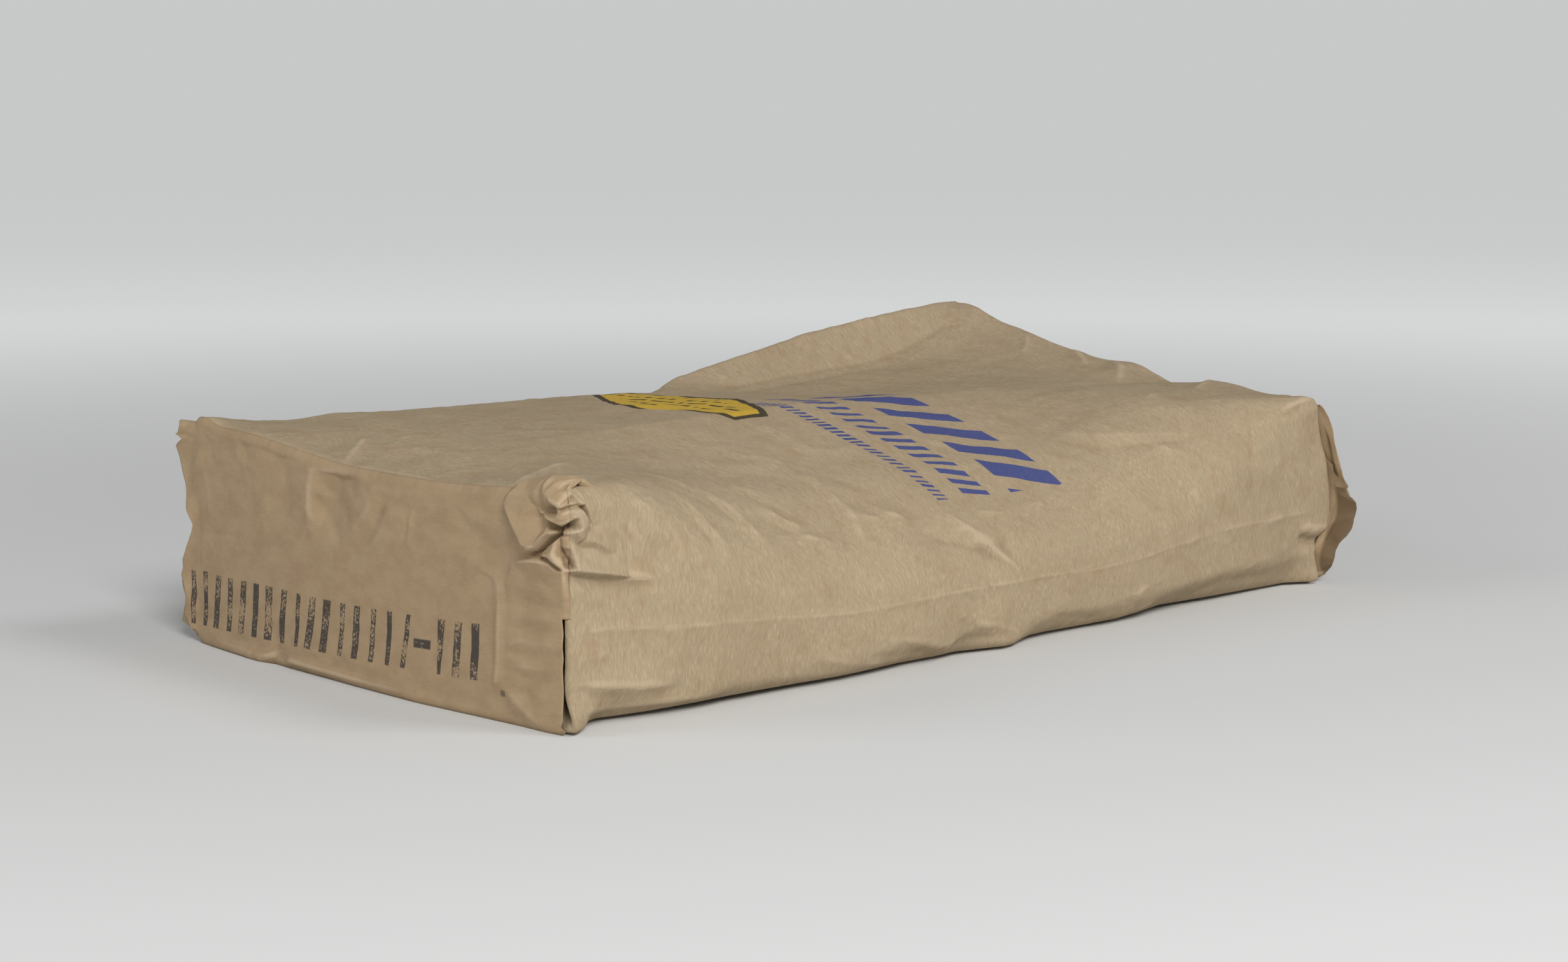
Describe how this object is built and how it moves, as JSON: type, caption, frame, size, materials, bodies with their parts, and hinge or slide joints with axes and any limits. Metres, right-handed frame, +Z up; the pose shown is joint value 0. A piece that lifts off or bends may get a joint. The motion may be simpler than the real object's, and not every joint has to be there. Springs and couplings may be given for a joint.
{
  "type": "bag of sand",
  "caption": "Filled paper sack of sand lying flat, with folded square ends under pasted cover sheets and one far corner standing up unfilled.",
  "frame": {"origin": "middle of the flat base that rests on the ground, without the cover sheets' ears", "axes": "+X along the sack towards the end with the raised corner, +Y across it towards the long side with the raised corner, +Z up"},
  "size_m": [0.5771, 0.3261, 0.1492],
  "materials": {
    "creped_kraft": "matt creped kraft paper",
    "smooth_kraft": "matt smooth kraft paper",
    "sand": "loose dry sand"
  },
  "bodies": {
    "root": {"sand_fill": "sand", "paper_sack": "creped_kraft", "near_end_cover": "smooth_kraft", "far_end_cover": "smooth_kraft"}
  },
  "joints": []
}
